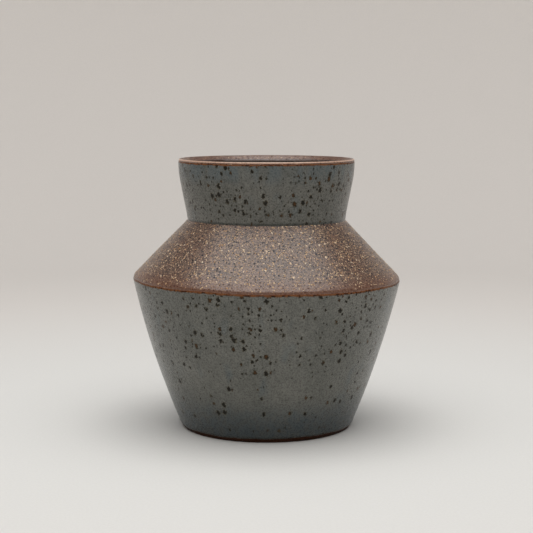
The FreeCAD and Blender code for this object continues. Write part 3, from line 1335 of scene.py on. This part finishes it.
@dataclass(frozen=True)
class IronSpeckledGlaze:
    """A satin stoneware glaze over iron-bearing clay, fired in reduction.

    Grey with a green cast and bluer where it lies thick; iron from the clay melts up through it
    as dark spots with brown hearts and olive rims, and it burns to rust where it thins at an edge.
    Height is measured from the coat's lower edge.
    """

    name: str
    drum: float
    height: float
    grey: str = "555650"
    light: str = "65655F"
    pale_mottle: str = "74746E"
    pale_cloud: str = "83837B"
    dark: str = "41423C"
    dark_cloud: str = "30322B"
    # Dark blue laid on towards the foot: partly the thicker glaze's own colour, partly painted shade from the
    # floor below.
    shade: str = "1B2428"
    blue: str = "475459"
    # Green-black for a coat's lower edge: glaze pooled in the roll, and painted shade under it.
    pooled_and_shaded: str = "23261F"
    spot: str = "110E04"
    heart: str = "4C3010"
    olive: str = "3A300C"
    faint_spot: str = "26241A"
    streak: str = "1E2018"
    rust: str = "6A452B"
    burnt_rust: str = "2C160A"
    edge_width: float = 0.5
    crowded: float = 1.0
    thinnest: float = 1.0
    # How far the glaze is darkened towards the foot: thicker glaze and painted shade.
    foot_thick_glaze_and_shadow: float = 0.0
    top_blue: float = 0.0

    def make(self) -> bpy.types.Material:
        """Build the material.

        Returns:
            The finish, ready to put on a piece.
        """
        material, tree, shader = new_finish(self.name)
        place = in_millimetres(tree)
        marks = marks_of(tree)
        wall = Unrolled.of(tree, place, marks["Y"], self.drum)
        colour, cloud = self.ground(tree, place, marks)
        colour, sunk = self.iron(tree, wall, colour)
        thin = add(tree, "Math MULTIPLY_ADD", patches(tree, place, 1.6, 2.0), self.edge_width * 1.6,
                   self.edge_width * 0.2)
        burnt = add(tree, "MapRange", marks["X"], add(tree, "Math MULTIPLY", thin, 0.5), thin, 1.0, 0.0)
        rusty = add(tree, "MapRange", patches(tree, place, 1.3), 0.45, 0.62)
        rust = add(tree, "Mix", rusty, self.rust, self.burnt_rust)
        dry = add(tree, "Math MAXIMUM", add(tree, "Math MULTIPLY", sunk, 0.75), burnt)
        relief = add(tree, "Math SUBTRACT", patches(tree, place, 1.4), add(tree, "Math MULTIPLY", sunk, 0.6))
        feed(tree, shader, {
            "Base Color": add(tree, "Mix", burnt, colour, rust),
            "Roughness": add(tree, "Math MULTIPLY_ADD", cloud, 0.16, 0.2),
            "Specular IOR Level": add(tree, "Math MULTIPLY_ADD", dry, -0.42, 0.5),
            "Normal": add(tree, "Bump", {"Height": relief, "Distance": 0.03 * MM, "Strength": 0.6}),
        })
        shader.inputs["IOR"].default_value = 1.52
        return material

    def ground(self, tree: bpy.types.NodeTree, place: Any, marks: Any) -> tuple[Any, Any]:
        """Mottle the plain glaze.

        Args:
            tree: The shader tree.
            place: Coordinates in millimetres.
            marks: The distances that the coat carries.

        Returns:
            The colour, and the fine clouding from 0 to 1.
        """
        drawn_out = stretched(tree, place, 2.6)
        broad = patches(tree, stretched(tree, place, 1.5), 14.0, 2.0)
        colour = add(tree, "Mix", add(tree, "MapRange", broad, 0.3, 0.7), self.grey, self.light)
        mottle = patches(tree, stretched(tree, place, 1.4), 1.7, 3.0, 0.6)
        colour = add(tree, "Mix", add(tree, "MapRange", mottle, 0.5, 0.3, 0.0, 0.45), colour, self.dark)
        pale = add(tree, "MapRange", mottle, 0.5, 0.72, 0.0, 0.35)
        colour = add(tree, "Mix", pale, colour, self.pale_mottle)
        flow = patches(tree, drawn_out, 6.0, 2.0)
        colour = add(tree, "Mix", add(tree, "MapRange", flow, 0.56, 0.76, 0.0, 0.45), colour, self.blue)
        cloud = patches(tree, place, 0.6, 3.0, 0.7)
        colour = add(tree, "Mix", add(tree, "MapRange", cloud, 0.55, 0.3, 0.0, 0.5), colour, self.dark_cloud)
        pale = add(tree, "MapRange", cloud, 0.55, 0.75, 0.0, 0.42)
        colour = add(tree, "Mix", pale, colour, self.pale_cloud)
        if self.foot_thick_glaze_and_shadow:
            misty = add(tree, "Math MULTIPLY", add(tree, "MapRange", marks["Y"], 2.0, 18.0, 0.8, 0.0),
                        add(tree, "MapRange", mottle, 0.42, 0.56))
            colour = add(tree, "Mix", misty, colour, self.blue)
            # Darker towards the foot: partly the thicker glaze there, partly painted shade where the floor's
            # contact shadow falls.
            low = add(tree, "MapRange", marks["Y"], 1.0, 21.0, self.foot_thick_glaze_and_shadow, 0.0)
            colour = add(tree, "Mix", low, colour, self.shade)
        if self.top_blue:
            high = add(tree, "MapRange", marks["X"], 3.0, 9.0, self.top_blue, 0.0)
            patchy = add(tree, "Math MULTIPLY", high, add(tree, "MapRange", flow, 0.36, 0.56, 0.25, 1.0))
            colour = add(tree, "Mix", patchy, colour, self.blue)
        # A dark line at the coat's lower edge: partly glaze pooled in the roll, partly painted shade where
        # the roll meets the surface below.
        thick = add(tree, "MapRange", marks["Y"], 0.5, 1.2, 0.85, 0.0)
        return add(tree, "Mix", thick, colour, self.pooled_and_shaded), cloud

    def iron(self, tree: bpy.types.NodeTree, wall: Unrolled, colour: Any) -> tuple[Any, Any]:
        """Lay the iron spots over the glaze: faint ones, streaks, small ones, then large ones.

        Args:
            tree: The shader tree.
            wall: The unrolled wall.
            colour: The plain glaze.

        Returns:
            The colour, and how far the surface is sunk from 0 to 1.
        """
        thinning = {"thin_from": self.height * 0.75, "thin_to": self.height * 0.3}
        sparse = {**thinning, "thinnest": self.thinnest * self.thinnest}
        faint = Spots(1.1, 0.14, 0.36, 0.5 * self.crowded, 1.5, 1.4, rough=0.12, gather=9.0, **sparse)
        streaks = Spots(2.1, 0.24, 0.5, 0.9, 1.3, 5.5, rough=0.14, gather=10.0,
                        thin_from=self.height - 9.0, thin_to=self.height - 20.0, thinnest=0.06)
        small = Spots(1.7, 0.2, 0.46, 0.6 * self.crowded, 1.3, 1.3, rough=0.24, gather=8.0, **sparse)
        large = Spots(3.4, 0.36, 0.88, 1.0 * self.crowded, 1.3, 1.35, rough=0.46, gather=11.0,
                      thinnest=self.thinnest, **thinning)
        mask = add(tree, "MapRange", faint.draw(tree, wall).depth, -0.1, 0.6, 0.0, 0.5)
        colour = add(tree, "Mix", mask, colour, self.faint_spot)
        mask = add(tree, "MapRange", streaks.draw(tree, wall).depth, 0.0, 0.25, 0.0, 0.55)
        colour = add(tree, "Mix", mask, colour, self.streak)
        drawn = small.draw(tree, wall)
        dots = add(tree, "MapRange", drawn.depth, 0.0, 0.2)
        halo = add(tree, "MapRange", drawn.depth, -0.4, 0.05, 0.0, 0.4)
        colour = add(tree, "Mix", halo, colour, self.olive)
        colour = add(tree, "Mix", add(tree, "Math MULTIPLY", dots, 0.96), colour, self.spot)
        drawn = large.draw(tree, wall)
        blots = add(tree, "MapRange", drawn.depth, 0.0, 0.16)
        halo = add(tree, "MapRange", drawn.depth, -0.45, 0.05, 0.0, 0.75)
        colour = add(tree, "Mix", halo, colour, self.olive)
        colour = add(tree, "Mix", add(tree, "Math MULTIPLY", blots, 0.97), colour, self.spot)
        heart = add(tree, "Math MULTIPLY", add(tree, "MapRange", drawn.depth, 0.2, 0.6, 0.0, 0.8),
                    add(tree, "MapRange", drawn.toss, 0.55, 0.7))
        return add(tree, "Mix", heart, colour, self.heart), add(tree, "Math MAXIMUM", dots, blots)


@dataclass(frozen=True)
class DarkLinerGlaze:
    """A near-black glossy liner, poured in and out: brown only where it thins at its top edge."""

    body: str = "120E0C"
    thin: str = "3A2112"
    freckle: str = "241811"

    def make(self) -> bpy.types.Material:
        """Build the material.

        Returns:
            The finish, ready to put on a piece.
        """
        material, tree, shader = new_finish("poured_dark_liner_glaze")
        place = in_millimetres(tree)
        marks = marks_of(tree)
        runs = patches(tree, stretched(tree, place, 4.0), 3.0, 2.0)
        edge_width = add(tree, "Math MULTIPLY_ADD", runs, 1.8, 0.3)
        edge = add(tree, "MapRange", marks["Y"], 0.1, edge_width, 1.0, 0.0)
        colour = add(tree, "Mix", edge, self.body, self.thin)
        freckled = add(tree, "MapRange", patches(tree, place, 1.2, 3.0), 0.6, 0.75, 0.0, 0.5)
        feed(tree, shader, {
            "Base Color": add(tree, "Mix", freckled, colour, self.freckle),
            "Roughness": add(tree, "Math MULTIPLY_ADD", runs, 0.12, 0.08),
            "Normal": add(tree, "Bump", {"Height": runs, "Distance": 0.06 * MM, "Strength": 0.5}),
        })
        shader.inputs["IOR"].default_value = 1.55
        return material


@dataclass(frozen=True)
class IronBead:
    """Iron slag that has boiled up at the glaze's edge: glassy, almost black, red where thin."""

    dark: str = "1E120C"
    red: str = "5A2A12"
    clot: str = "30180C"

    def make(self) -> bpy.types.Material:
        """Build the material.

        Returns:
            The finish, ready to put on a piece.
        """
        material, tree, shader = new_finish("melted_iron_bead")
        tint = add(tree, "Attribute", attribute_name="tint").outputs["Fac"]
        place = in_millimetres(tree)
        colour = add(tree, "Mix", add(tree, "Math POWER", tint, 1.6), self.dark, self.red)
        grit = patches(tree, place, 0.3, 2.0)
        clotted = add(tree, "MapRange", grit, 0.4, 0.7, 0.0, 0.5)
        feed(tree, shader, {
            "Base Color": add(tree, "Mix", clotted, colour, self.clot),
            "Roughness": add(tree, "Math MULTIPLY_ADD", grit, 0.2, 0.2),
        })
        shader.inputs["IOR"].default_value = 1.55
        return material


# --------------------------------------------------------------------------- the studio


@dataclass(frozen=True)
class PaleSweep:
    """Matt off-white studio paper: no pattern of its own, a faint tooth only."""

    paper: str = "D8D8D6"
    far_paper: str = "D9D5D1"
    tooth: str = "C2BFBB"

    def make(self) -> bpy.types.Material:
        """Build the material.

        Returns:
            The finish, ready to put on a piece.
        """
        material, tree, shader = new_finish("pale_studio_sweep")
        place = in_millimetres(tree)
        tooth = patches(tree, place, 0.9, 2.0)
        away = add(tree, "VectorMath LENGTH", place)
        colour = add(tree, "Mix", add(tree, "MapRange", away, 80.0, 380.0), self.paper, self.far_paper)
        colour = add(tree, "Mix", add(tree, "MapRange", tooth, 0.3, 0.7, 0.0, 0.12), colour, self.tooth)
        feed(tree, shader, {"Base Color": colour})
        shader.inputs["Roughness"].default_value = 0.9
        shader.inputs["Specular IOR Level"].default_value = 0.2
        return material


@dataclass
class Studio:
    """A round pale sweep, a large soft light overhead and the camera, in metres and degrees."""

    floor_radius: float = 0.46
    sweep_radius: float = 0.26
    wall_height: float = 0.36
    segments: int = 96
    camera_distance: float = 0.5125
    camera_height: float = 0.12196
    camera_pitch: float = 6.919
    lens: float = 92.79
    sky: float = 0.21
    sky_colour: str = "F1F3F8"
    lamp_colour: str = "FFFDFA"
    top_light_size: float = 1.1
    top_light_height: float = 0.78
    top_light_forward: float = 0.12
    top_light_power: float = 7.7

    def build(self) -> None:
        """Make the sweep, the lights and the camera."""
        self.sweep()
        self.lights()
        self.camera()

    def sweep(self) -> None:
        """Make the floor, which curves up all round into a low wall."""
        steps = 14
        profile = [(self.floor_radius * share, 0.0) for share in (0.0, 0.2, 0.5, 0.8)]
        for step in range(steps + 1):
            angle = math.pi / 2 * step / steps
            profile.append((
                self.floor_radius + self.sweep_radius * math.sin(angle),
                self.sweep_radius * (1 - math.cos(angle)),
            ))
        profile.append((self.floor_radius + self.sweep_radius, self.wall_height))
        vertices, faces = [(0.0, 0.0, 0.0)], []
        for radius, height in profile[1:]:
            for segment in range(self.segments):
                angle = FULL_TURN * segment / self.segments
                vertices.append((radius * math.cos(angle), radius * math.sin(angle), height))
        for segment in range(self.segments):
            after = (segment + 1) % self.segments
            faces.append((0, 1 + segment, 1 + after))
            for ring in range(len(profile) - 2):
                low, high = 1 + ring * self.segments, 1 + (ring + 1) * self.segments
                faces.append((low + segment, high + segment, high + after, low + after))
        mesh = bpy.data.meshes.new("pale_sweep")
        mesh.from_pydata(vertices, [], faces)
        mesh.shade_smooth()
        mesh.materials.append(PaleSweep().make())
        floor = bpy.data.objects.new("pale_sweep", mesh)
        bpy.context.scene.collection.objects.link(floor)
        floor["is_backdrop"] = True

    def lights(self) -> None:
        """Hang the soft light overhead and set the sky."""
        data = bpy.data.lights.new("overhead_softbox", "AREA")
        data.shape = "DISK"
        data.size = self.top_light_size
        data.energy = self.top_light_power
        data.color = linear(self.lamp_colour)[:3]
        lamp = bpy.data.objects.new("overhead_softbox", data)
        lamp.location = (0.0, -self.top_light_forward, self.top_light_height)
        bpy.context.scene.collection.objects.link(lamp)
        world = bpy.data.worlds.new("soft_room")
        world.use_nodes = True
        sky = world.node_tree.nodes["Background"].inputs
        sky["Color"].default_value = linear(self.sky_colour)
        sky["Strength"].default_value = self.sky
        bpy.context.scene.world = world

    def camera(self) -> None:
        """Set the camera a little above the vase, looking slightly down."""
        data = bpy.data.cameras.new("camera")
        data.sensor_width = 36.0
        data.lens = self.lens
        data.clip_start, data.clip_end = 0.01, 20.0
        camera = bpy.data.objects.new("camera", data)
        camera.location = (0.0, -self.camera_distance, self.camera_height)
        camera.rotation_euler = (math.radians(90 - self.camera_pitch), 0.0, 0.0)
        bpy.context.scene.collection.objects.link(camera)
        bpy.context.scene.camera = camera
        bpy.context.scene.view_settings.view_transform = "Standard"


# --------------------------------------------------------------------------- putting it together


@dataclass(frozen=True)
class Shown:
    """A piece, the name of the frame's slot kept with it, and the node it stands for."""

    piece: bpy.types.Object
    slot: str
    node: str | None = None

    def settle(self) -> None:
        """Ride on the frame, hide the frame's part that the piece stands for, and log its name and face
        count.
        """
        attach(self.piece, "root")
        if self.node:
            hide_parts(self.node)
        LOG.info("%s: %d faces", self.piece.name, len(self.piece.data.polygons))


def build_vase() -> list[Shown]:
    """Build every piece of the vase.

    Returns:
        The pieces, in the order that a potter makes them.
    """
    lines = GlazeLines.from_frame()
    wall = Wall(WallSizes(), lines)
    edges = Edges((wall.foot_line, wall.shoulder_line, wall.neck_top, wall.liner_top))
    wheel, scatter = TurningTree(), ScatterTree()
    body = ThrownBody(wall, edges, wheel).build(FiredStoneware(
        crest=lines.height,
        crest_along=float(wall.along[np.argmax(wall.heights)]),
    ).make())
    shown = [Shown(body, "bare_clay", "stoneware_body")]
    coats = (
        (GlazeCoat("body_glaze_coat", "body_glaze", "body_glaze", wall, edges, wheel,
                   wall.foot_line, wall.shoulder_line,
                   Hand(segments=448, ring_pitch=2.9, ring_height=0.012, unevenness=0.07, seed=3.0),
                   start_roll=0.6, end_roll=0.9, start_swell=0.12),
         IronSpeckledGlaze("satin_iron_speckled_body_glaze", drum=42.0,
                           height=wall.shoulder_line - wall.foot_line, edge_width=0.72,
                           thinnest=0.3, foot_thick_glaze_and_shadow=0.68)),
        (GlazeCoat("neck_glaze_coat", "neck_glaze", "neck_glaze", wall, edges, wheel,
                   wall.neck_base, wall.neck_top,
                   Hand(segments=384, ring_pitch=2.9, ring_height=0.012, unevenness=0.06, seed=3.0),
                   start_roll=0.4, end_roll=0.7, start_swell=0.1),
         IronSpeckledGlaze("satin_iron_speckled_neck_glaze", drum=31.0,
                           height=wall.neck_top - wall.neck_base, grey="4F504A", light="5E5E58",
                           crowded=1.2, top_blue=0.6)),
        (GlazeCoat("liner_glaze_coat", "liner_glaze", "liner_glaze", wall, edges, wheel,
                   wall.liner_top, float(wall.along[-1]),
                   Hand(segments=256, ring_pitch=5.5, ring_height=0.12, unevenness=0.12, seed=3.0),
                   start_roll=0.8, closed_at_axis=True, step=1.1),
         DarkLinerGlaze()),
    )
    for coat, finish in coats:
        shown.append(Shown(coat.build(finish.make()), coat.slot, coat.node))
    grog = Lumps("grog_grains", scatter, per_square_centimetre=60.0, spacing=0.7, band=(1.2, 100.0),
                 along=(wall.shoulder_line, wall.neck_base), small=0.12, large=0.36, flatness=0.4,
                 sink=0.02, seed=7)
    shown.append(Shown(grog.build(body, GrogGrain().make()), "bare_clay"))
    beads = Lumps("iron_beads", scatter, per_square_centimetre=10.0, spacing=1.6, band=(0.15, 0.9),
                  along=(0.0, wall.along[-1]), small=0.18, large=0.44, flatness=0.4, sink=0.09, seed=19)
    shown.append(Shown(beads.build(shown[1].piece, IronBead().make()), "body_glaze"))
    return shown


def main() -> None:
    """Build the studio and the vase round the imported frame."""
    logging.basicConfig(level=logging.INFO, format="%(name)s %(message)s")
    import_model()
    Studio().build()
    for shown in build_vase():
        shown.settle()


if __name__ == "__main__":
    main()
